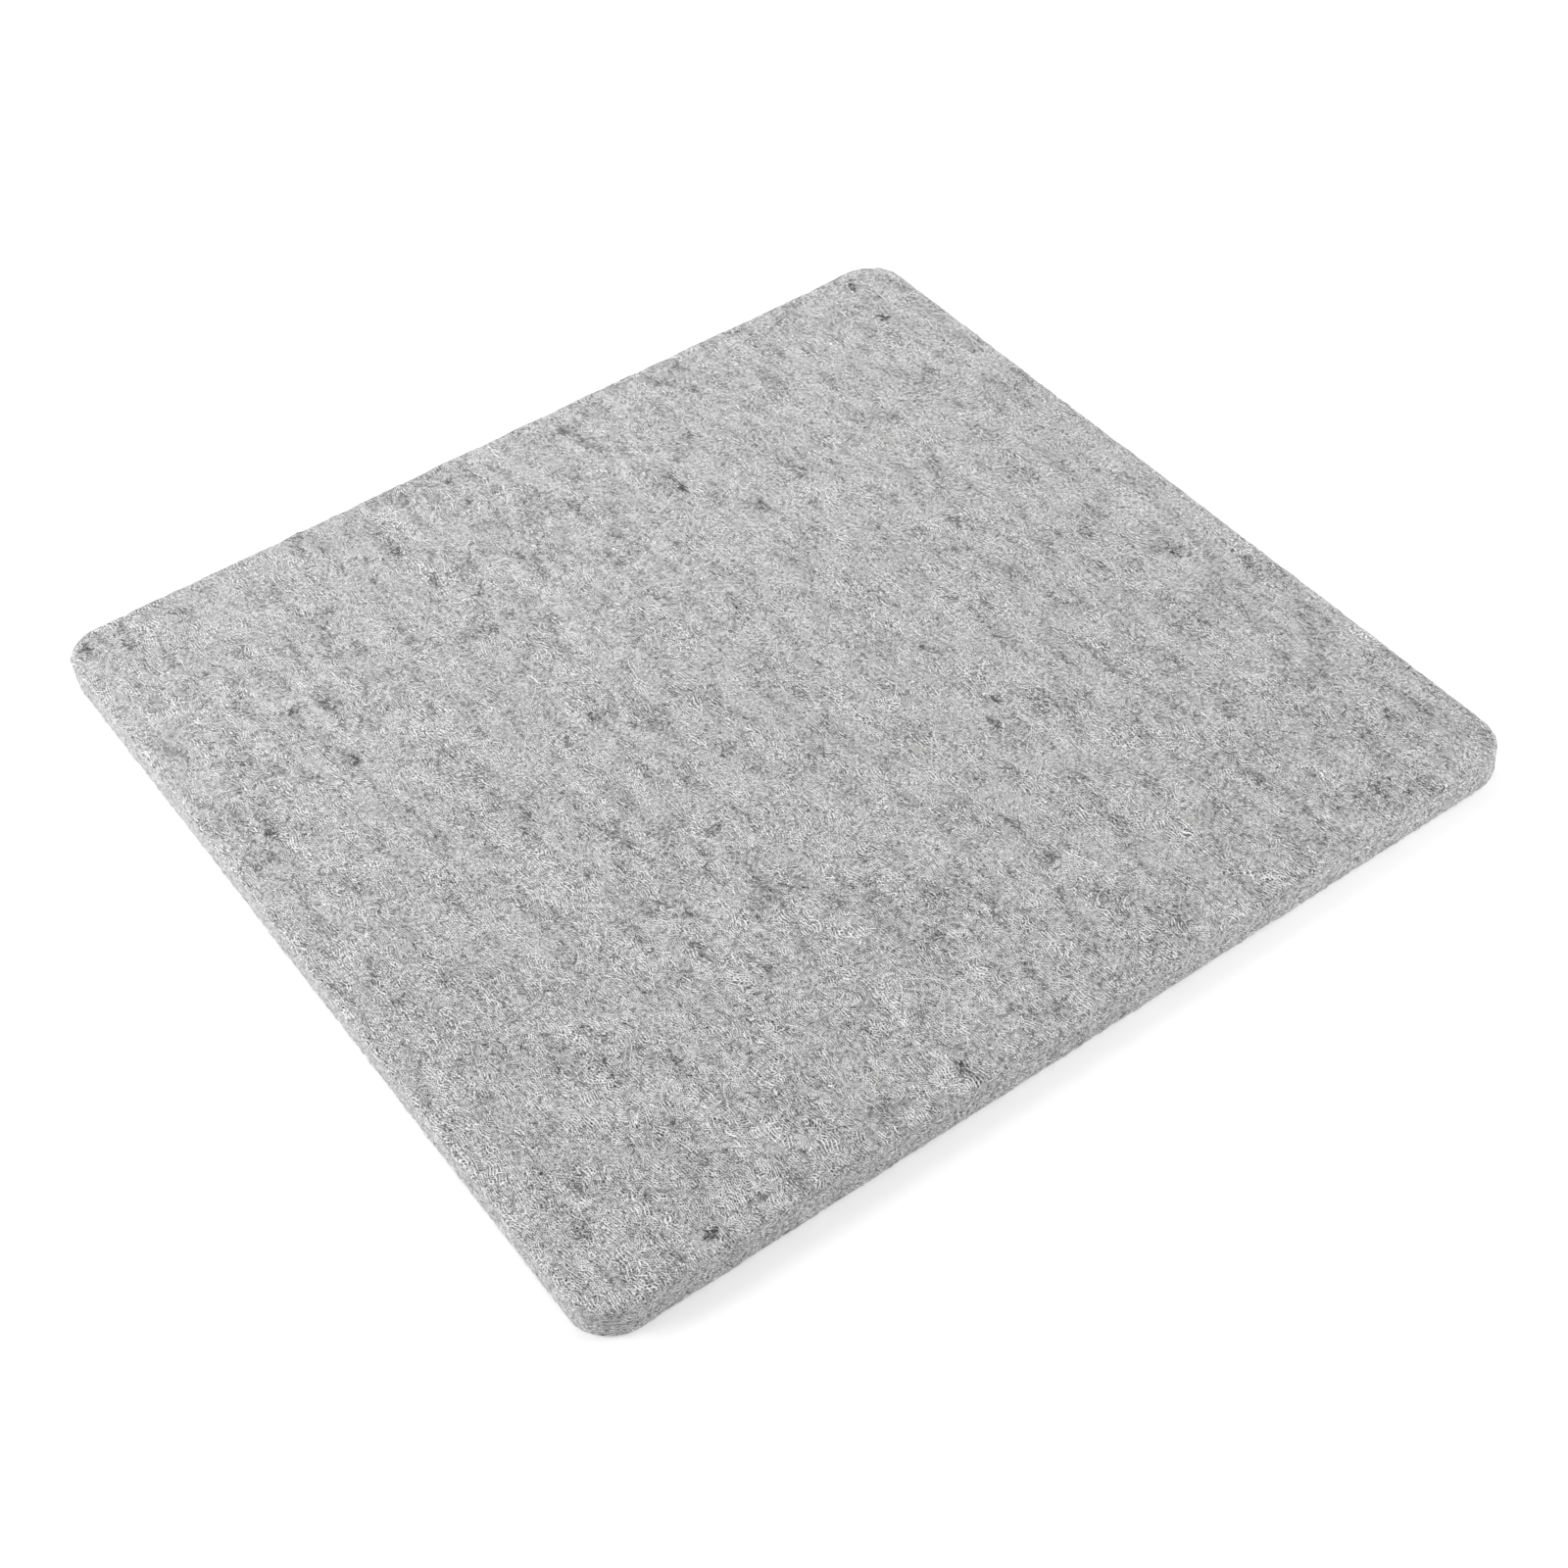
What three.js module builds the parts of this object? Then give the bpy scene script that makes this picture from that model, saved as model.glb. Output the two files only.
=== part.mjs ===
// Wool felt ironing pad: a square slab with rounded corners, pressed from plies of carded wool.
// Millimetres, +Z up. The origin is the middle of the underside.

import * as THREE from 'three';

// Plan of the pad
const PAD_WIDTH = 355.6; // along X, 14 inches
const PAD_DEPTH = 355.6; // along Y, 14 inches
const CORNER_RADIUS = 15;

// Plies, which together make the pad 12.7 mm thick
const FACE_PLY_THICKNESS = 2.3;
const CORE_PLY_THICKNESS = 2.025;
const CORE_PLY_COUNT = 4;

// Rounding of the cut edge: at the pad's two faces, and beside each line between plies
const FACE_EDGE_RADIUS = 1.8;
const PLY_LINE_RADIUS = 0.35;

// Least part of a ply's edge that stays upright between its two roundings
const UPRIGHT_SHARE = 0.05;

// Facets in a rounded corner and in each kind of rounded edge
const CORNER_STEPS = 12;
const FACE_EDGE_STEPS = 4;
const PLY_LINE_STEPS = 2;

// Colours of the felt
const FACE_GREY = 0xb7b7b7;
const CORE_GREY = 0xb1b1b1;

const QUARTER_TURN = Math.PI / 2;

// Outline of the pad drawn in by a margin, anticlockwise seen from above
function padOutline(margin) {
  const radius = CORNER_RADIUS - margin;
  const x = PAD_WIDTH / 2 - CORNER_RADIUS;
  const y = PAD_DEPTH / 2 - CORNER_RADIUS;
  const corners = [[x, y], [-x, y], [-x, -y], [x, -y]];
  const outline = new THREE.Shape();
  corners.forEach(([cornerX, cornerY], turn) => {
    outline.absarc(cornerX, cornerY, radius, turn * QUARTER_TURN, (turn + 1) * QUARTER_TURN);
  });
  outline.closePath();
  // An arc is cut into twice as many steps as are asked for
  return outline.extractPoints(CORNER_STEPS / 2).shape;
}

// Cut edge of a ply, from its underside up, as steps with a margin and a height
function edgeProfile(thickness, lower, upper) {
  const wall = (1 - UPRIGHT_SHARE) * thickness;
  const fit = Math.min(1, wall / (lower.radius + upper.radius));
  const profile = [];
  for (let step = 0; step <= lower.steps; step += 1) {
    const angle = (step / lower.steps) * QUARTER_TURN;
    profile.push({
      margin: fit * lower.radius * (1 - Math.sin(angle)),
      height: fit * lower.radius * (1 - Math.cos(angle)),
    });
  }
  for (let step = 0; step <= upper.steps; step += 1) {
    const angle = (step / upper.steps) * QUARTER_TURN;
    profile.push({
      margin: fit * upper.radius * (1 - Math.cos(angle)),
      height: thickness - fit * upper.radius * (1 - Math.sin(angle)),
    });
  }
  return profile;
}

// Closed solid through the outlines at each step of an edge profile
function loftGeometry(profile) {
  const positions = [];
  const triangles = [];
  const rings = profile.map(({ margin }) => padOutline(margin));
  const count = rings[0].length;
  rings.forEach((ring, level) => {
    ring.forEach((point) => positions.push(point.x, point.y, profile[level].height));
  });
  for (let level = 0; level < rings.length - 1; level += 1) {
    for (let i = 0; i < count; i += 1) {
      const next = (i + 1) % count;
      const below = level * count;
      const above = below + count;
      triangles.push(below + i, below + next, above + next);
      triangles.push(below + i, above + next, above + i);
    }
  }
  const topRing = (rings.length - 1) * count;
  THREE.ShapeUtils.triangulateShape(rings[0], []).forEach(([a, b, c]) => {
    triangles.push(a, c, b);
    triangles.push(topRing + a, topRing + b, topRing + c);
  });
  const geometry = new THREE.BufferGeometry();
  geometry.setAttribute('position', new THREE.Float32BufferAttribute(positions, 3));
  geometry.setIndex(triangles);
  geometry.computeVertexNormals();
  return geometry;
}

// Matt grey felt
function feltMaterial(colour) {
  return new THREE.MeshStandardMaterial({ color: colour, roughness: 1, metalness: 0 });
}

// One layer of felt, with its two rounded edges
function feltPly(name, thickness, lower, upper, colour) {
  const ply = new THREE.Mesh(loftGeometry(edgeProfile(thickness, lower, upper)), feltMaterial(colour));
  ply.name = name;
  return ply;
}

const faceEdge = { radius: FACE_EDGE_RADIUS, steps: FACE_EDGE_STEPS };
const plyLine = { radius: PLY_LINE_RADIUS, steps: PLY_LINE_STEPS };

// Geometry holds 32-bit numbers: with thicknesses rounded alike, each ply sits exactly on the last
const faceThickness = Math.fround(FACE_PLY_THICKNESS);
const coreThickness = Math.fround(CORE_PLY_THICKNESS);
const coreStack = CORE_PLY_COUNT * coreThickness;

const pad = new THREE.Group();

const bottomPly = feltPly('bottom_face_ply', faceThickness, faceEdge, plyLine, FACE_GREY);
pad.add(bottomPly);

for (let below = 0; below < CORE_PLY_COUNT; below += 1) {
  const corePly = feltPly(`core_ply_${below + 1}`, coreThickness, plyLine, plyLine, CORE_GREY);
  corePly.position.z = faceThickness + below * coreThickness;
  pad.add(corePly);
}

const topPly = feltPly('top_face_ply', faceThickness, plyLine, faceEdge, FACE_GREY);
topPly.position.z = faceThickness + coreStack;
pad.add(topPly);

export default pad;
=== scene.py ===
"""Looks of the wool felt ironing pad: soft plies, heather felt and loose fibres on its surface."""

import math
from typing import NamedTuple

import bpy
import numpy as np
from mathutils import Matrix, Vector


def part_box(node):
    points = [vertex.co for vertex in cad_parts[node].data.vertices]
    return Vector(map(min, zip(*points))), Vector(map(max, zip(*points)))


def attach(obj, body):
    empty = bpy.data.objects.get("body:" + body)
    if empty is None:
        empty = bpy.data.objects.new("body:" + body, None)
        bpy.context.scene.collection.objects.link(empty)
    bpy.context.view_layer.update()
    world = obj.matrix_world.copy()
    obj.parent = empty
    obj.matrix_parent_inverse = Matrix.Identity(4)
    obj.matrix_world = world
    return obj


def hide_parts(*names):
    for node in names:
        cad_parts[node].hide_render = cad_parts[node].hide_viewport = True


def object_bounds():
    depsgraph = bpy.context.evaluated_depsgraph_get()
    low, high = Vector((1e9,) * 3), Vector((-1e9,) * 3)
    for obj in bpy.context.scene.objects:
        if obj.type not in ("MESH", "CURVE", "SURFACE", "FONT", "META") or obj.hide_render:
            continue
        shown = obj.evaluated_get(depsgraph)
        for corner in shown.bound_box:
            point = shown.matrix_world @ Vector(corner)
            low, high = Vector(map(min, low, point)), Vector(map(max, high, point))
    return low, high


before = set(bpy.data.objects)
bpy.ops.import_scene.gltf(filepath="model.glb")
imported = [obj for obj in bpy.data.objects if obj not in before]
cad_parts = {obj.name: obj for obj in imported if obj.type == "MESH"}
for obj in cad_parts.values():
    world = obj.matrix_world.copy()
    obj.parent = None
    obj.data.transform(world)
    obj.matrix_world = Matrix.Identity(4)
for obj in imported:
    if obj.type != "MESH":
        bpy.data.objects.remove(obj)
cad_low, cad_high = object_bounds()

MM = 0.001

# Shape of the pad, as in its solids
WIDTH, DEPTH, THICKNESS = cad_high - cad_low
CORNER_RADIUS = 15 * MM
EDGE_RADIUS = 1.8 * MM
PLY_LINE_DEPTH = 0.2 * MM

# Plies from the underside up
PLY_NODES = sorted(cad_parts, key=lambda node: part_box(node)[0].z)

# Shifts of the square's corners that bring it to the photographed outline, anticlockwise from -X -Y
CORNER_OFFSETS = np.array([(-0.9, -1.2), (1.5, 0.3), (-2.5, -0.8), (1.9, 1.8)]) * MM

# Relief of the felt: the spans and heights of its lumps, and the share of them that its cut sides have
LUMPS = ((15 * MM, 0.09 * MM), (7 * MM, 0.06 * MM), (4 * MM, 0.045 * MM))
SIDE_LUMPS = 0.35

# Waves that add up to lumps or to the swell: how many, and the limits of their spans
RIPPLE_WAVES = 40
RIPPLE_SPANS = (0.7, 1.5)

# Slow swell of the whole slab
SWELL_SPAN = 210 * MM
SWELL_HEIGHT = 0.2 * MM
SWELL_SEED = 11

# Mesh steps: across half a side, round the face edge, beside a ply line and down a ply's side
CELLS = 120
EDGE_STEPS = 5
LINE_STEPS = 2
SIDE_STEPS = 2

# Layout of the picture that a ply's material is baked to: its rows, and sizes in shares of it
BAKE_MAP = "OFBake"
TRAY_FILL = 0.998
MAP_ROWS = 16
ROW_MARGIN = 0.01
ROW_FILL = 0.9
HIDDEN_SIZE = 0.01
HIDDEN_PLACE = 0.007

# Direction that the wool was carded in, from +X towards +Y
GRAIN = math.radians(2)

# Hairs in the felt, by layer: turn from the grain or from level, span and pitch in millimetres, and shade
HAIRS = (
    (0.0, 6.0, 0.78, 1.00),
    (0.75, 4.0, 0.74, 0.95),
    (-0.75, 3.0, 0.70, 0.90),
    (1.5, 3.5, 0.80, 0.75),
)

# Shifts of the noises in metres, which keep them from being alike, and the middle of a noise
LAYER_SHIFT = 0.3
BEND_SHIFT = 0.05
FADE_SHIFT = 0.1
QUICK_SHIFT = 0.7
DARK_SHIFT = 0.9
SPOT_SHIFT = 0.6
NOISE_MIDDLE = 0.5

# In pitches, how far the hairs bend and half their width
HAIR_BEND = 4.5
HAIR_WIDTH = 0.40

# Fading of the hairs: its span in millimetres, where it begins and ends, and the share that is left
FADE_SPAN = 1.2
FADE_LIMITS = (0.3, 0.65)
FADE_SHARE = 0.5

# Evenness of the hairs' shades: 1 for plain, less for paler painted shade in the gaps between them
EVENNESS = 0.8

# Middle shade of the hairs, and the contrast that they show with; below the middle, in the gaps between
# hairs, it is painted shade
HAIR_MIDDLE = 0.68
HAIR_CONTRAST = 1.15

# Waves that bend the hairs: span and push in millimetres
SLOW_BEND = (26, 9.0)
QUICK_BEND = (5, 1.5)

# Paler and darker patches: spans in millimetres, detail, roughness and contrast
FACE_PATCHES = ((20, 6, 6), 5.0, 0.62, 0.23)
SIDE_PATCHES = ((14, 14, 4), 3.0, 0.5, 0.14)

# Dark hairs in the darker patches: turn, spans in millimetres, limits of patch and of hair, and depth
DARK_TURN = 0.2
DARK_SPANS = (2.2, 0.5, 0.8)
DARK_PATCH = (0.56, 0.34)
DARK_HAIR = (0.48, 0.68)
DARK_DEPTH = 0.27

# Small dark spots: spans in millimetres, detail and roughness, limits and depth
SPOT_SPANS = (6, 3.5, 4)
SPOT_GRAIN = (3.0, 0.6)
SPOT_LIMITS = (0.30, 0.22)
SPOT_DEPTH = 0.14

# Brightness of the felt's face and cut side, as shown on a screen, and its least
FACE_TONE = 0.74
SIDE_TONE = 0.73
LEAST_TONE = 0.05
DISPLAY_GAMMA = 2.2

# Upright share of the normal up to which a ply shows the cut side's pattern alone, and from which the face's
FACING = (0.25, 0.85)

# Finish of the felt: its roughness from gaps to hairs, the hairs' bumps, and its gloss and sheen all over
FELT_ROUGHNESS = (1.0, 0.86)
HAIR_RANGE = (-0.3, 0.3)
BUMP_STRENGTH = 0.4
BUMP_HEIGHT = 0.2 * MM
FELT_SPECULAR = 0.15
FELT_SHEEN = 0.1
SHEEN_ROUGHNESS = 0.6

# Finish of the loose wool
WOOL_ROUGHNESS = 0.7
WOOL_SPECULAR = 0.3

# Shades of loose wool, as shown on a screen, and the share of each in a kind of wool
WOOL_TONES = (0.98, 0.88, 0.80, 0.60, 0.44, 0.28)
MIXED_WOOL = (0.05, 0.55, 0.30, 0.06, 0.03, 0.01)
WHITE_WOOL = (0.85, 0.15, 0.00, 0.00, 0.00, 0.00)
GREY_WOOL = (0.00, 0.00, 0.00, 0.60, 0.35, 0.05)
WISP_WOOL = (0.00, 0.00, 0.00, 0.20, 0.50, 0.30)
DARK_WOOL = (0.00, 0.00, 0.00, 0.00, 0.40, 0.60)


class Fibre(NamedTuple):
    """A kind of loose fibre, in millimetres and radians, with the limits that it is drawn from."""

    points: int
    length: tuple
    radius: tuple
    spread: float
    curl: float
    wool: tuple


FACE_FIBRE = Fibre(5, (2, 6.5), (0.05, 0.08), 0.5, 0.9, MIXED_WOOL)
EDGE_FIBRE = Fibre(5, (1, 3), (0.07, 0.12), 0.9, 0.5, MIXED_WOOL)
CURL_FIBRE = Fibre(12, (8, 20), (0.10, 0.15), 0.7, 0.9, WHITE_WOOL)
GREY_FIBRE = Fibre(5, (1, 4), (0.05, 0.09), 0.4, 0.7, GREY_WOOL)
WISP_FIBRE = GREY_FIBRE._replace(wool=WISP_WOOL)
DARK_FIBRE = GREY_FIBRE._replace(radius=(0.07, 0.13), wool=DARK_WOOL)

# Tubes of fibres: their sides, the share of their width at their ends, and how they lie on the felt
FIBRE_SIDES = 3
FIBRE_ENDS = 0.55
FIBRE_LIFT = (0.02 * MM, 0.3 * MM)
FIBRE_SUNK = 0.05 * MM

# Layers of fibres, and how many there are in each
TOP_LAYERS = 4
UNDERSIDE_LAYERS = 2
LAYER_FIBRES = 7000
EDGE_FIBRES = 6000
CURLS = 1500

# Seeds of the fibres, to which the number of the layer is added on the top and the underside
TOP_SEED = 100
UNDERSIDE_SEED = 200
EDGE_SEED = 300
CURL_SEED = 500

# Tangles of dark wool on the top: seed, how many, fibres in each, spread in millimetres and kind of fibre
TANGLES = {
    "dark_knots": (400, 16, 26, (1.4, 0.7), DARK_FIBRE),
    "dark_wisps": (410, 280, 16, (2.2, 0.6), WISP_FIBRE),
    "grey_wisps": (420, 500, 14, (3.0, 0.9), GREY_FIBRE),
}

# Table top: half its side, its depth under the pad and its colour
TABLE_HALF = 3.0
TABLE_DROP = 0.15 * MM
TABLE_COLOUR = 0.8

# Glow of the table that the camera sees, near the pad and far from it, and where it changes
TABLE_GLOW = (0.3, 1.0)
GLOW_REACH = (0.4, 1.0)

# Light: strength of the white sky, and each lamp's place, watts and size of side
SKY_LIGHT = 0.43
LAMPS = {
    "front_lamp": ((-0.25, -0.92, 0.32), 5.9, 0.5),
    "back_lamp": ((0.72, 0.79, 0.32), 5.8, 0.5),
    "top_lamp": ((-0.41, 0.09, 0.55), 2.0, 0.6),
}

# Camera at the photograph's place, fitted to the photographed outline with the pad taken as square
CAMERA_TURN = math.radians(59.80)
CAMERA_RISE = math.radians(45.75)
CAMERA_ROLL = math.radians(-6.41)
CAMERA_REACH = 891.1 * MM
CAMERA_TARGET = Vector((30.44 * MM, -10.92 * MM, 0))
CAMERA_LENS = 61.58
CAMERA_SENSOR = 36


# Plan and relief of the felt

HALF_PLAN = np.array((WIDTH, DEPTH)) / 2
CORNER_CENTRES = np.array([(-1, -1), (1, -1), (1, 1), (-1, 1)]) * (HALF_PLAN - CORNER_RADIUS)


def outline_at(share, margin=0.0):
    """Points and outward directions on the outline, a share of the way round it from the -X -Y corner."""
    side = np.floor(share * 4).astype(int) % 4
    run = np.where(side % 2 == 0, WIDTH, DEPTH) - 2 * CORNER_RADIUS
    bend = CORNER_RADIUS * math.pi / 4
    along = (share * 4 % 1) * (run + 2 * bend)
    straight = np.clip(along - bend, 0, run)
    heading = side * math.pi / 2
    turned = heading - 0.75 * math.pi + (along - straight) / CORNER_RADIUS
    outward = np.stack((np.cos(turned), np.sin(turned)), -1)
    ahead = np.stack((np.cos(heading), np.sin(heading)), -1)
    centre = CORNER_CENTRES[side] + ahead * straight[..., None]
    return centre + outward * (CORNER_RADIUS - margin), outward


def beyond_outline(plan):
    """Distance of plan points from the outline, negative inside it."""
    past = np.abs(plan) - (HALF_PLAN - CORNER_RADIUS)
    corner = np.linalg.norm(np.maximum(past, 0), axis=-1)
    return corner + np.minimum(past.max(-1), 0) - CORNER_RADIUS


def ripple(points, span, seed):
    """A smooth random field of standard deviation 1, with bumps about one span apart."""
    rng = np.random.default_rng(seed)
    directions = rng.normal(size=(RIPPLE_WAVES, 3))
    directions /= np.linalg.norm(directions, axis=1, keepdims=True)
    spans = span * rng.uniform(*RIPPLE_SPANS, (RIPPLE_WAVES, 1))
    phases = rng.uniform(0, 2 * math.pi, RIPPLE_WAVES)
    waves = np.cos(points @ (directions * 2 * math.pi / spans).T + phases)
    return waves.sum(-1) / math.sqrt(RIPPLE_WAVES / 2)


def relief(points):
    """Height of the felt's lumps over its plain surface."""
    return sum(height * ripple(points, span, seed) for seed, (span, height) in enumerate(LUMPS))


def settle(points):
    """Gives plain points the slow swell of the slab and the outline of its cut, resting on the table."""
    swell = SWELL_HEIGHT * ripple(points * (1, 1, 0), SWELL_SPAN, SWELL_SEED)
    across = points[..., 0] / WIDTH + 0.5
    along = points[..., 1] / DEPTH + 0.5
    weights = np.stack(
        ((1 - across) * (1 - along), across * (1 - along), across * along, (1 - across) * along), -1
    )
    moved = points.copy()
    moved[..., :2] += weights @ CORNER_OFFSETS
    moved[..., 2] += swell * points[..., 2] / THICKNESS
    moved[..., 2] = np.maximum(moved[..., 2], 0)
    return moved


def on_surface(plain, normals, lift=0.0):
    """Points on the finished felt over plain ones, lifted off it along their normals."""
    share = SIDE_LUMPS + (1 - SIDE_LUMPS) * np.abs(normals[..., 2])
    raised = relief(plain) * share + lift
    return settle(plain + normals * raised[..., None])


# Meshes

def make_piece(name, vertices, face_groups, materials, shades=None, map_groups=None):
    """One smooth mesh object from vertices and groups of faces with equally many corners."""
    corners = np.concatenate([np.asarray(faces).ravel() for faces in face_groups]).astype(np.int32)
    totals = np.concatenate([np.full(len(faces), len(faces[0])) for faces in face_groups])
    starts = np.concatenate(((0,), np.cumsum(totals)[:-1])).astype(np.int32)
    mesh = bpy.data.meshes.new(name)
    mesh.vertices.add(len(vertices))
    mesh.vertices.foreach_set("co", np.asarray(vertices, np.float32).ravel())
    mesh.loops.add(len(corners))
    mesh.loops.foreach_set("vertex_index", corners)
    mesh.polygons.add(len(totals))
    mesh.polygons.foreach_set("loop_start", starts)
    for material in materials:
        mesh.materials.append(material)
    if shades is not None:
        mesh.polygons.foreach_set("material_index", np.asarray(shades, np.int32))
    mesh.update(calc_edges=True)
    if map_groups is not None:
        places = np.concatenate([np.asarray(group).ravel() for group in map_groups])
        mesh.uv_layers.new(name=BAKE_MAP).uv.foreach_set("vector", places.astype(np.float32))
    mesh.validate()
    mesh.shade_smooth()
    piece = bpy.data.objects.new(name, mesh)
    bpy.context.collection.objects.link(piece)
    return piece


# Points round a ply
RING = 8 * CELLS
RING_SHARES = np.arange(RING) / RING


def face_grid():
    """Plan points of a face as a square grid bent to the outline, its quads and its rim in order."""
    steps = np.arange(-CELLS, CELLS + 1)
    column, row = np.meshgrid(steps, steps)
    ring = np.maximum(np.abs(column), np.abs(row))
    place = np.select(
        [row == -ring, column == ring, row == ring],
        [column + ring, 3 * ring + row, 5 * ring - column],
        7 * ring - row,
    )
    share = place / np.maximum(8 * ring, 1)
    plan = outline_at(share % 1, EDGE_RADIUS)[0] * (ring / CELLS)[..., None]
    number = np.arange(column.size).reshape(column.shape)
    quads = np.stack((number[:-1, :-1], number[:-1, 1:], number[1:, 1:], number[1:, :-1]), -1)
    rim = np.concatenate((number[0, :-1], number[:-1, -1], number[-1, :0:-1], number[:0:-1, 0]))
    return plan.reshape(-1, 2), quads.reshape(-1, 4), rim


def rounding(edge):
    """Steps round an edge from its face to its side: margin, drop, and the two shares of the normal."""
    radius, steps, is_face = edge
    for angle in np.linspace(0, math.pi / 2, steps + 1):
        outward, upward = math.sin(angle), math.cos(angle)
        normal = (outward, upward) if is_face else (1.0, 0.0)
        yield radius * (1 - outward), radius * (1 - upward), *normal


def side_profile(low, high, low_edge, high_edge):
    """Rings down a ply's cut side, as columns: margin, height, and the outward and upward normal."""
    rings = []
    for margin, drop, outward, upward in rounding(high_edge):
        rings.append((margin, high - drop, outward, upward))
    upright = np.linspace(high - high_edge[0], low + low_edge[0], SIDE_STEPS + 1)
    for height in upright[1:-1]:
        rings.append((0.0, height, 1.0, 0.0))
    for margin, drop, outward, upward in reversed(list(rounding(low_edge))):
        rings.append((margin, low + drop, outward, -upward))
    return np.array(rings)


def ring_points(profile):
    """Plain points and normals of the rings of a side profile."""
    points, normals = [], []
    for margin, height, outward, upward in profile:
        plan, direction = outline_at(RING_SHARES, margin)
        points.append(np.column_stack((plan, np.full(RING, height))))
        normals.append(np.column_stack((direction * outward, np.full(RING, upward))))
    return np.array(points), np.array(normals)


def girth(profile):
    """Distance down a side profile from its first ring to each ring."""
    return np.concatenate(((0,), np.cumsum(np.hypot(*np.diff(profile[:, :2], axis=0).T))))


def tray_scale(profile):
    """Picture size for a metre where a face ply's side is folded out flat round its face."""
    return TRAY_FILL / 2 / (HALF_PLAN.max() - EDGE_RADIUS + girth(profile)[-1])


def tray_map(profile, has_top):
    """Picture places of a face ply's rings, folded out flat, at each column's start and end."""
    reach = girth(profile)
    if not has_top:
        reach = reach[-1] - reach
    plan, outward = outline_at(RING_SHARES, EDGE_RADIUS)
    left = 0.5 + (plan + outward * reach[:, None, None]) * tray_scale(profile)
    return left, np.roll(left, -1, 1)


def row_map(profile):
    """Picture places of a core ply's rings, cut into rows, at each column's start and end."""
    length = RING // MAP_ROWS
    row, along = np.divmod(np.arange(RING), length)
    depth = (girth(profile) / girth(profile)[-1])[:, None]
    height = (row + (1 - ROW_FILL) / 2 + ROW_FILL * depth) / (MAP_ROWS + 1)
    step = (1 - 2 * ROW_MARGIN) / length
    start = np.broadcast_to(ROW_MARGIN + step * along, height.shape)
    return np.stack((start, height), -1), np.stack((start + step, height), -1)


def small_map(plan, place):
    """Picture places of a hidden face, drawn small at one place."""
    return np.array(place) + plan[None] / WIDTH * HIDDEN_SIZE


def ply_piece(node, material):
    """A felt ply: its cut side, and its face as a fine grid where it is one of the pad's two faces."""
    low, high = (corner.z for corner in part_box(node))
    line = (PLY_LINE_DEPTH, LINE_STEPS, False)
    face = (EDGE_RADIUS, EDGE_STEPS, True)
    has_top = node == PLY_NODES[-1]
    has_bottom = node == PLY_NODES[0]
    has_face = has_top or has_bottom
    profile = side_profile(low, high, face if has_bottom else line, face if has_top else line)
    points, normals = ring_points(profile)
    vertices = [on_surface(points, normals).reshape(-1, 3)]
    numbers = np.arange(points.shape[0] * RING).reshape(-1, RING)
    ahead = np.roll(numbers, -1, 1)
    groups = [np.stack((numbers[1:], ahead[1:], ahead[:-1], numbers[:-1]), -1).reshape(-1, 4)]
    left, right = tray_map(profile, has_top) if has_face else row_map(profile)
    maps = [np.stack((left[1:], right[1:], right[:-1], left[:-1]), 2)]
    if has_face:
        plan, quads, rim = face_grid()
        plain = np.column_stack((plan, np.full(len(plan), high if has_top else low)))
        normal = np.tile((0.0, 0.0, 1.0 if has_top else -1.0), (len(plan), 1))
        vertices.append(on_surface(plain, normal))
        joined = numbers.size + np.arange(len(plan))
        joined[rim] = numbers[0] if has_top else numbers[-1]
        order = slice(None) if has_top else slice(None, None, -1)
        groups.append(joined[quads][:, order])
        maps.append(0.5 + plan[quads][:, order] * tray_scale(profile))
    spot = HIDDEN_PLACE if has_face else (MAP_ROWS + 0.5) / (MAP_ROWS + 1)
    if not has_top:
        groups.append(numbers[:1])
        maps.append(small_map(points[0, :, :2], (spot, spot)))
    if not has_bottom:
        groups.append(numbers[-1:, ::-1])
        maps.append(small_map(points[-1, ::-1, :2], (1 - spot, spot)))
    return make_piece("felt_" + node, np.vstack(vertices), groups, [material], map_groups=maps)


# Materials

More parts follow.
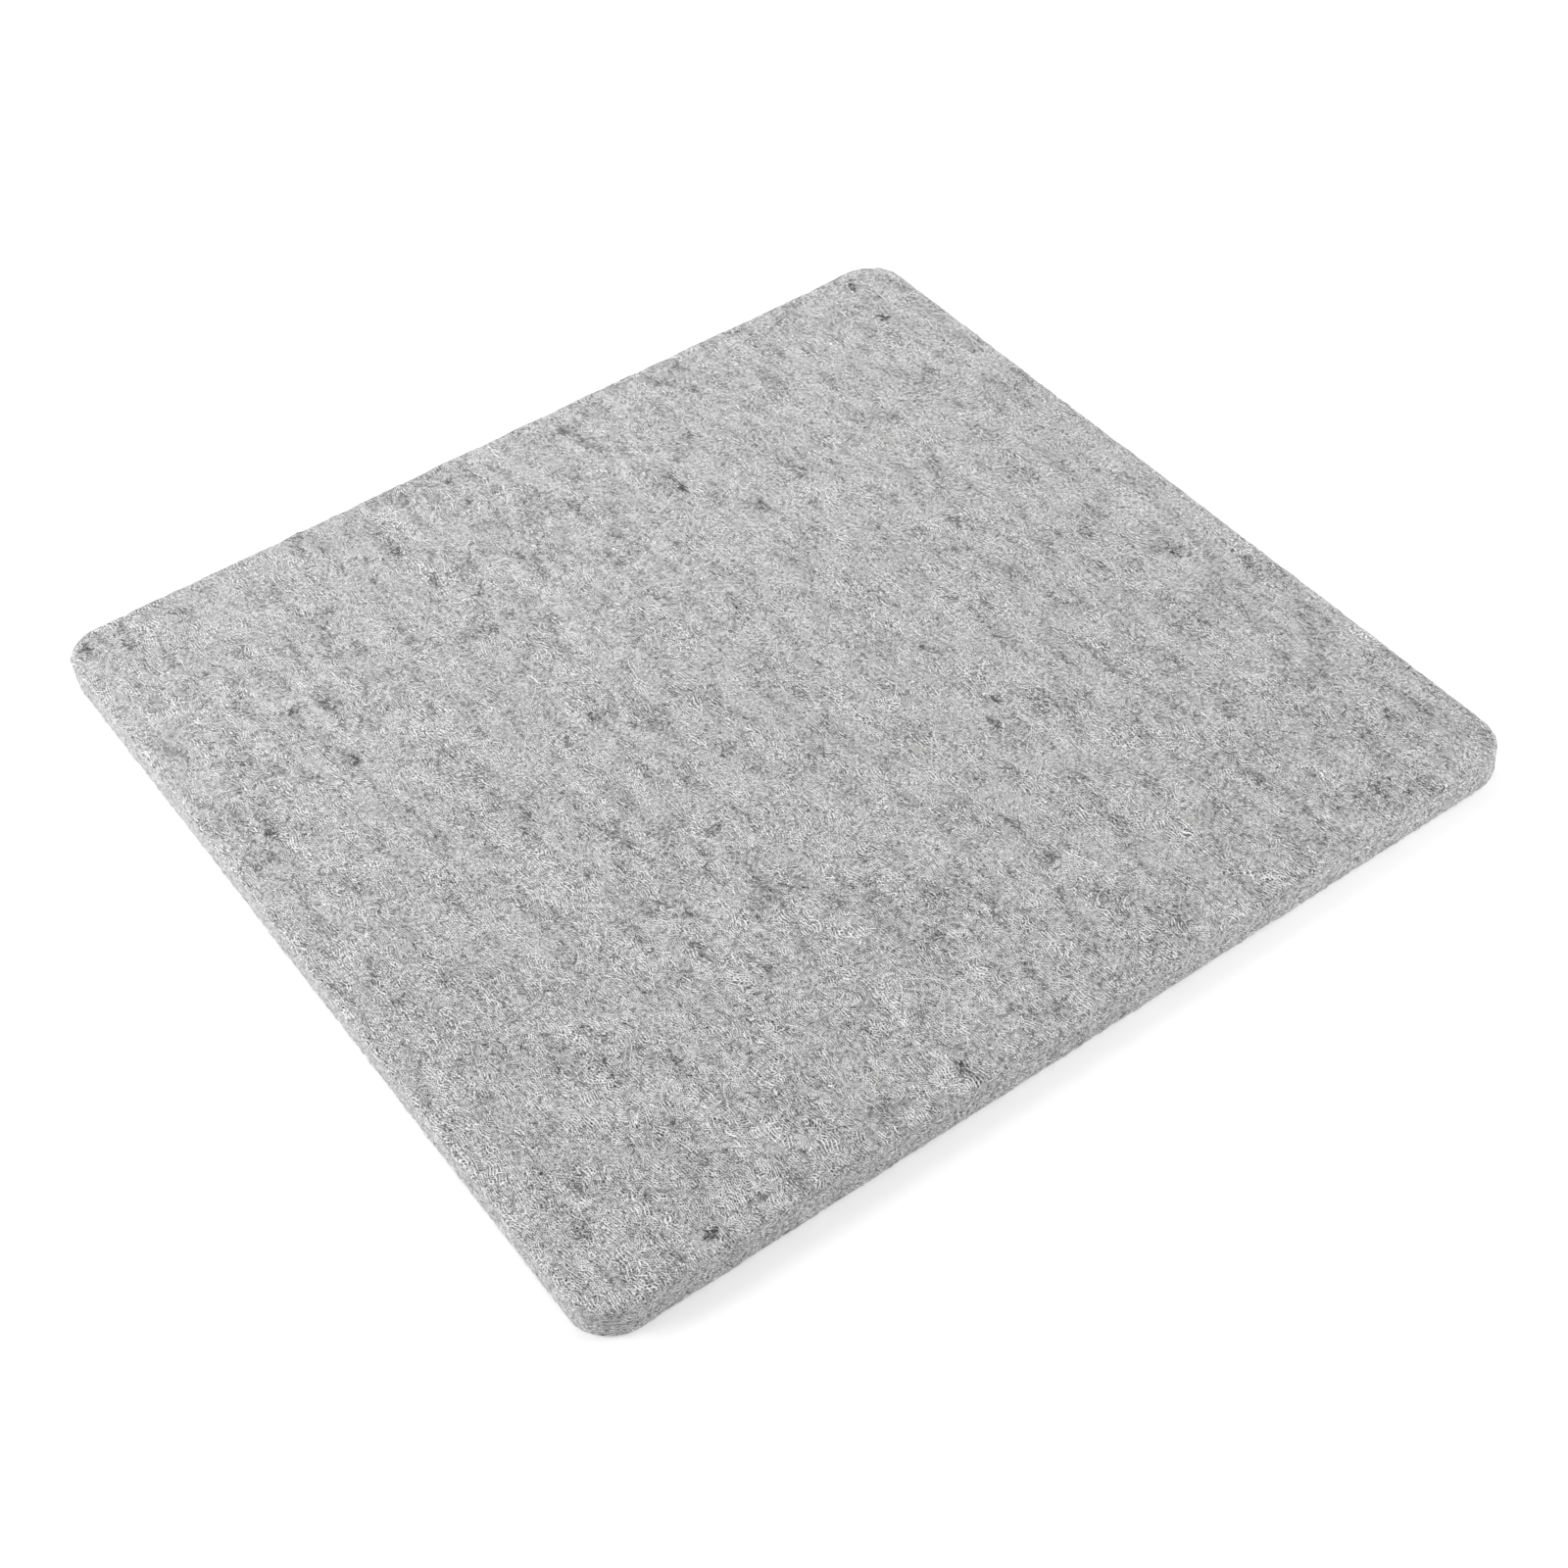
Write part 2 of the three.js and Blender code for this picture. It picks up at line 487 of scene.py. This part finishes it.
class Graph:
    """Short calls for the nodes of a material or a world."""

    def __init__(self, owner, shader):
        owner.use_nodes = True
        self.owner = owner
        self.tree = owner.node_tree
        self.shader = self.tree.nodes[shader]

    def put(self, value, socket):
        """Links an output to a socket, or sets the socket to a plain value."""
        if isinstance(value, bpy.types.NodeSocket):
            self.tree.links.new(value, socket)
        else:
            socket.default_value = value

    def shade(self, inputs):
        """Sets or links inputs of the shader, by name."""
        for name, value in inputs.items():
            self.put(value, self.shader.inputs[name])

    def node(self, kind, inputs, **settings):
        """A new node with its settings and inputs, by name or by number."""
        made = self.tree.nodes.new(kind)
        for name, value in settings.items():
            setattr(made, name, value)
        for name, value in inputs.items():
            self.put(value, made.inputs[name])
        return made

    def calculate(self, operation, a, b=0.5, c=0.5):
        return self.node("ShaderNodeMath", {0: a, 1: b, 2: c}, operation=operation).outputs[0]

    def vector(self, operation, a, b):
        return self.node("ShaderNodeVectorMath", {0: a, 1: b}, operation=operation).outputs[0]

    def place(self):
        """Coordinates on the object, in metres."""
        return self.node("ShaderNodeTexCoord", {}).outputs["Object"]

    def noise(self, place, detail=1.0, roughness=0.5, output="Fac"):
        inputs = {"Vector": place, "Scale": 1.0, "Detail": detail, "Roughness": roughness}
        return self.node("ShaderNodeTexNoise", inputs).outputs[output]

    def stretched(self, place, turn, spans, shift=0.0):
        """Coordinates along, across and through a turned direction, measured in spans of millimetres."""
        inputs = {
            "Vector": place,
            "Location": (shift, shift, shift),
            "Rotation": (0, 0, turn),
            "Scale": [span * MM for span in spans],
        }
        return self.node("ShaderNodeMapping", inputs, vector_type="TEXTURE").outputs[0]

    def between(self, value, low, high, to_low=0.0, to_high=1.0):
        """A value's place between two limits, eased in and out and clamped."""
        inputs = {"Value": value, 1: low, 2: high, 3: to_low, 4: to_high}
        return self.node("ShaderNodeMapRange", inputs, interpolation_type="SMOOTHSTEP").outputs[0]

    def mix(self, share, a, b):
        return self.node("ShaderNodeMix", {0: share, 2: a, 3: b}, data_type="FLOAT").outputs[0]

    def about(self, value, middle, gain):
        """A value's distance from its middle, times a gain."""
        return self.calculate("MULTIPLY", self.calculate("SUBTRACT", value, middle), gain)

    def seen_directly(self):
        """1 for what the camera sees, straight or in gloss or glass, and 0 for the light on other things."""
        path = self.node("ShaderNodeLightPath", {}).outputs
        seen = self.calculate("MAXIMUM", path["Is Camera Ray"], path["Is Glossy Ray"])
        return self.calculate("MAXIMUM", seen, path["Is Transmission Ray"])


def material_graph(name):
    return Graph(bpy.data.materials.new(name), "Principled BSDF")


def wave(graph, place, bend, shift):
    """A random push across the plan, up to half its size each way."""
    span, push = bend
    colour = graph.noise(graph.stretched(place, 0, (span, span, span), shift), output="Color")
    either_way = graph.vector("SUBTRACT", colour, (NOISE_MIDDLE, NOISE_MIDDLE, NOISE_MIDDLE))
    return graph.vector("MULTIPLY", either_way, (push * MM, push * MM, 0))


def wandering(graph, place):
    """Coordinates pushed about so that straight hairs bend as wool does."""
    slow = wave(graph, place, SLOW_BEND, 0.0)
    quick = wave(graph, place, QUICK_BEND, QUICK_SHIFT)
    return graph.vector("ADD", place, graph.vector("ADD", slow, quick))


def across_face(turn):
    """Direction across hairs on the face, turned from the grain."""
    return Vector((-math.sin(GRAIN + turn), math.cos(GRAIN + turn), 0))


def across_side(turn):
    """Direction across hairs on the cut sides, turned from level."""
    return Vector((math.sin(turn), math.sin(turn), math.cos(turn)))


def hairs_and_shaded_gaps(graph, place, across):
    """Bent hairs of even pitch, crossing one another: from 0 in the gaps, which are painted shade between
    the hairs, to 1 on the palest.
    """
    top = 0.0
    for number, (turn, span, pitch, shade) in enumerate(HAIRS):
        shift = LAYER_SHIFT * number
        ruler = {0: place, 1: across(turn) / (pitch * MM)}
        steps = graph.node("ShaderNodeVectorMath", ruler, operation="DOT_PRODUCT")
        push = graph.noise(graph.stretched(place, 0, (span, span, span), shift + BEND_SHIFT))
        phase = graph.calculate("MULTIPLY_ADD", push, HAIR_BEND, steps.outputs["Value"])
        off_line = graph.calculate("SUBTRACT", graph.calculate("FRACT", phase), 0.5)
        hair = graph.between(graph.calculate("ABSOLUTE", off_line), 0.0, HAIR_WIDTH, shade, 0.0)
        fade_place = graph.stretched(place, 0, (FADE_SPAN, FADE_SPAN, FADE_SPAN), shift + FADE_SHIFT)
        sunk = graph.noise(fade_place, detail=0.0)
        faded = graph.calculate("MULTIPLY", hair, graph.between(sunk, *FADE_LIMITS, FADE_SHARE, 1.0))
        top = graph.calculate("MAXIMUM", top, faded)
    return graph.calculate("POWER", top, EVENNESS)


def dark_wool(graph, place, patches):
    """Depth of the dark hairs in the darker patches, and of small dark spots."""
    hairs = graph.noise(graph.stretched(place, GRAIN + DARK_TURN, DARK_SPANS, DARK_SHIFT))
    dark_patch = graph.between(patches, *DARK_PATCH)
    shown = graph.calculate("MULTIPLY", dark_patch, graph.between(hairs, *DARK_HAIR))
    spots = graph.noise(graph.stretched(place, GRAIN, SPOT_SPANS, SPOT_SHIFT), *SPOT_GRAIN)
    spots = graph.between(spots, *SPOT_LIMITS, 0.0, SPOT_DEPTH)
    return graph.calculate("MULTIPLY_ADD", shown, DARK_DEPTH, spots)


def face_tone(graph, place):
    """Brightness of the pressed face, with painted shade in the gaps between its hairs, and the fine part of
    its pattern alone.
    """
    bent = wandering(graph, place)
    # Pale and darker wool hairs, with painted shade in the gaps between them
    fine = graph.about(hairs_and_shaded_gaps(graph, bent, across_face), HAIR_MIDDLE, HAIR_CONTRAST)
    spans, detail, roughness, contrast = FACE_PATCHES
    patches = graph.noise(graph.stretched(bent, GRAIN, spans), detail, roughness)
    clouds = graph.about(patches, NOISE_MIDDLE, contrast)
    # Hairs and patches of wool, with painted shade in the gaps between the hairs
    wool_and_gap_shade = graph.calculate("ADD", fine, clouds)
    pattern = graph.calculate("SUBTRACT", wool_and_gap_shade, dark_wool(graph, bent, patches))
    return graph.calculate("ADD", pattern, FACE_TONE), fine


def side_tone(graph, place):
    """Brightness of the cut side, with painted shade in the gaps between its hairs, and the fine part of its
    pattern alone.
    """
    # Pale and darker wool hairs, with painted shade in the gaps between them
    fine = graph.about(hairs_and_shaded_gaps(graph, place, across_side), HAIR_MIDDLE, HAIR_CONTRAST)
    spans, detail, roughness, contrast = SIDE_PATCHES
    patches = graph.noise(graph.stretched(place, 0, spans), detail, roughness)
    pattern = graph.calculate("ADD", fine, graph.about(patches, NOISE_MIDDLE, contrast))
    return graph.calculate("ADD", pattern, SIDE_TONE), fine


def felt_material(name, has_face):
    """Heather felt with the pattern of the cut side, running into that of the pressed face if it has one."""
    graph = material_graph(name)
    place = graph.place()
    tone, fine = side_tone(graph, place)
    if has_face:
        normal = graph.node("ShaderNodeNewGeometry", {}).outputs["Normal"]
        upright = graph.node("ShaderNodeSeparateXYZ", {0: normal}).outputs["Z"]
        facing = graph.between(graph.calculate("ABSOLUTE", upright), *FACING)
        whole_face, fine_face = face_tone(graph, place)
        tone = graph.mix(facing, tone, whole_face)
        fine = graph.mix(facing, fine, fine_face)
    bumps = {"Strength": BUMP_STRENGTH, "Distance": BUMP_HEIGHT, "Height": fine}
    bump = graph.node("ShaderNodeBump", bumps)
    graph.shade({
        "Base Color": graph.calculate("POWER", graph.calculate("MAXIMUM", tone, LEAST_TONE), DISPLAY_GAMMA),
        "Roughness": graph.between(fine, *HAIR_RANGE, *FELT_ROUGHNESS),
        "Normal": bump.outputs[0],
        "Specular IOR Level": FELT_SPECULAR,
        "Sheen Weight": FELT_SHEEN,
        "Sheen Roughness": SHEEN_ROUGHNESS,
    })
    return graph.owner


def wool_material(name, tone):
    """One shade of loose wool fibre."""
    graph = material_graph(name)
    light = tone ** DISPLAY_GAMMA
    graph.shade({
        "Base Color": (light, light, light, 1),
        "Roughness": WOOL_ROUGHNESS,
        "Specular IOR Level": WOOL_SPECULAR,
    })
    return graph.owner


# Fibres

def wander(rng, starts, kind):
    """Flat paths of fibres that start off near the grain's direction and curl at random."""
    count = len(starts)
    heading = GRAIN + rng.normal(0, kind.spread, (count, 1)) + math.pi * rng.integers(0, 2, (count, 1))
    bends = rng.normal(0, kind.curl, (count, 1)) + rng.normal(0, kind.curl, (count, kind.points - 1))
    headings = heading + np.cumsum(bends, 1) / math.sqrt(kind.points)
    step = rng.uniform(*kind.length, (count, 1)) * MM / (kind.points - 1)
    steps = np.stack((np.cos(headings), np.sin(headings)), -1) * step[..., None]
    return np.concatenate((starts[:, None], starts[:, None] + np.cumsum(steps, 1)), 1)


def fibre_piece(name, paths, ups, radii, materials, shades):
    """Thin closed tubes along paths, each in one shade of wool."""
    ahead = np.gradient(paths, axis=1)
    ahead /= np.linalg.norm(ahead, axis=-1, keepdims=True)
    across = np.cross(ahead, ups)
    across /= np.linalg.norm(across, axis=-1, keepdims=True)
    lifted = np.cross(across, ahead)
    angles = math.pi / 2 + np.arange(FIBRE_SIDES) * 2 * math.pi / FIBRE_SIDES
    rings = paths[:, :, None] + radii[:, :, None, None] * (
        across[:, :, None] * np.cos(angles)[:, None] + lifted[:, :, None] * np.sin(angles)[:, None]
    )
    count, points = paths.shape[:2]
    number = np.arange(count * points * FIBRE_SIDES).reshape(count, points, FIBRE_SIDES)
    turned = np.roll(number, -1, 2)
    walls = np.stack((number[:, :-1], number[:, 1:], turned[:, 1:], turned[:, :-1]), -1).reshape(-1, 4)
    ends = np.concatenate((number[:, 0], number[:, -1, ::-1]))
    shades = np.concatenate((np.repeat(shades, (points - 1) * FIBRE_SIDES), np.tile(shades, 2)))
    return make_piece(name, rings.reshape(-1, 3), [walls, ends], materials, shades)


def lay_fibres(name, rng, kind, plain, ups, materials):
    """Fibres along plain paths on the felt, arched off it with their ends sunk in it."""
    count, points = plain.shape[:2]
    arch = np.sin(np.linspace(0, math.pi, points))
    rise = rng.uniform(*FIBRE_LIFT, (count, 1)) * arch - FIBRE_SUNK * (1 - arch)
    radii = rng.uniform(*kind.radius, (count, 1)) * MM * (FIBRE_ENDS + (1 - FIBRE_ENDS) * arch)
    shades = rng.choice(len(WOOL_TONES), count, p=kind.wool)
    piece = fibre_piece(name, on_surface(plain, ups, rise), ups, radii, materials, shades)
    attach(piece, "root")


def on_face(plan, has_top):
    """Plain points and normals of those paths that stay on a face."""
    plan = plan[beyond_outline(plan).max(1) < -EDGE_RADIUS]
    height = np.full((*plan.shape[:2], 1), THICKNESS if has_top else 0.0)
    ups = np.tile((0.0, 0.0, 1.0 if has_top else -1.0), (*plan.shape[:2], 1))
    return np.concatenate((plan, height), -1), ups


def on_edge(paths):
    """Plain points and normals of paths on the cut edge, measured along it and down it."""
    girdle = 2 * (WIDTH + DEPTH) - (8 - 2 * math.pi) * CORNER_RADIUS
    outline, outward = outline_at(paths[..., 0] / girdle % 1)
    bend = EDGE_RADIUS * math.pi / 2
    upright = THICKNESS - 2 * EDGE_RADIUS
    down = np.clip(paths[..., 1], 0, 2 * bend + upright)
    straight = np.clip(down - bend, 0, upright)
    angle = (down - straight) / EDGE_RADIUS
    lean, rise = np.sin(angle), np.cos(angle)
    plan = outline - outward * (EDGE_RADIUS * (1 - lean))[..., None]
    height = THICKNESS - EDGE_RADIUS - straight + EDGE_RADIUS * rise
    ups = np.concatenate((outward * lean[..., None], rise[..., None]), -1)
    return np.concatenate((plan, height[..., None]), -1), ups


def scattered(rng, *counts):
    """Random plan points all over the pad."""
    return rng.uniform(-0.5, 0.5, (*counts, 2)) * (WIDTH, DEPTH)


def face_fibres(name, seed, count, kind, has_top, materials):
    """A layer of fibres of one kind all over a face."""
    rng = np.random.default_rng(seed)
    paths = wander(rng, scattered(rng, count), kind)
    lay_fibres(name, rng, kind, *on_face(paths, has_top), materials)


def edge_fibres(name, seed, materials):
    """A layer of short fibres round the cut edge."""
    rng = np.random.default_rng(seed)
    starts = rng.uniform(0, 1, (EDGE_FIBRES, 2)) * (2 * (WIDTH + DEPTH), THICKNESS + EDGE_RADIUS)
    lay_fibres(name, rng, EDGE_FIBRE, *on_edge(wander(rng, starts, EDGE_FIBRE)), materials)


def tangles(name, materials):
    """Tangles of dark wool scattered over the top."""
    seed, count, fibres, spread, kind = TANGLES[name]
    rng = np.random.default_rng(seed)
    middles = scattered(rng, count, 1)
    starts = middles + rng.normal(0, 1, (count, fibres, 2)) * spread * MM
    paths = wander(rng, starts.reshape(-1, 2), kind)
    lay_fibres(name, rng, kind, *on_face(paths, True), materials)


# Stage

def make_floor():
    """A wide white table top that shows the pad's soft shadow."""
    plan = TABLE_HALF * np.array([(-1, -1), (1, -1), (1, 1), (-1, 1)])
    corners = np.column_stack((plan, np.full(len(plan), -TABLE_DROP)))
    graph = material_graph("table_white")
    seen = graph.seen_directly()
    away = graph.node("ShaderNodeVectorMath", {0: graph.place()}, operation="LENGTH").outputs["Value"]
    glow = graph.between(away, *GLOW_REACH, *TABLE_GLOW)
    graph.shade({
        "Base Color": graph.mix(seen, TABLE_COLOUR, 1.0),
        "Emission Strength": graph.calculate("MULTIPLY", seen, glow),
        "Emission Color": (1, 1, 1, 1),
        "Roughness": 1.0,
        "Specular IOR Level": 0.0,
    })
    make_piece("table_top", corners, [[(0, 1, 2, 3)]], [graph.owner])


def make_light():
    """A white sky and soft square lamps that face the pad."""
    graph = Graph(bpy.data.worlds.new("studio"), "Background")
    graph.shade({"Color": (1, 1, 1, 1), "Strength": graph.mix(graph.seen_directly(), SKY_LIGHT, 1.0)})
    bpy.context.scene.world = graph.owner
    for name, (place, watts, size) in LAMPS.items():
        data = bpy.data.lights.new(name, "AREA")
        data.energy = watts
        data.size = size
        lamp = bpy.data.objects.new(name, data)
        lamp.location = place
        lamp.rotation_euler = (-Vector(place)).to_track_quat("-Z", "Y").to_euler()
        lamp.visible_camera = False
        bpy.context.collection.objects.link(lamp)


def make_camera():
    """The camera at the photograph's place."""
    data = bpy.data.cameras.new("camera")
    data.lens = CAMERA_LENS
    data.sensor_width = CAMERA_SENSOR
    camera = bpy.data.objects.new("camera", data)
    level = math.cos(CAMERA_RISE)
    back = Vector((math.sin(CAMERA_TURN) * level, -math.cos(CAMERA_TURN) * level, math.sin(CAMERA_RISE)))
    camera.location = CAMERA_TARGET + back * CAMERA_REACH
    facing = (-back).to_track_quat("-Z", "Y").to_matrix()
    camera.rotation_euler = (facing @ Matrix.Rotation(CAMERA_ROLL, 3, "Z")).to_euler()
    bpy.context.collection.objects.link(camera)
    bpy.context.scene.camera = camera


make_camera()
make_light()
make_floor()
bpy.context.scene.view_settings.view_transform = "Standard"

face_felt = felt_material("face_felt", has_face=True)
core_felt = felt_material("core_felt", has_face=False)
for node in PLY_NODES:
    is_core = node.startswith("core")
    ply = ply_piece(node, core_felt if is_core else face_felt)
    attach(ply, "root")
    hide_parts(node)

wools = [wool_material(f"wool_{number}", tone) for number, tone in enumerate(WOOL_TONES, 1)]
for layer in range(1, TOP_LAYERS + 1):
    face_fibres(f"top_fibres_{layer}", TOP_SEED + layer, LAYER_FIBRES, FACE_FIBRE, True, wools)
for layer in range(1, UNDERSIDE_LAYERS + 1):
    face_fibres(f"underside_fibres_{layer}", UNDERSIDE_SEED + layer, LAYER_FIBRES, FACE_FIBRE, False, wools)
edge_fibres("edge_fibres", EDGE_SEED, wools)
for name in TANGLES:
    tangles(name, wools)
face_fibres("pale_curls", CURL_SEED, CURLS, CURL_FIBRE, True, wools)
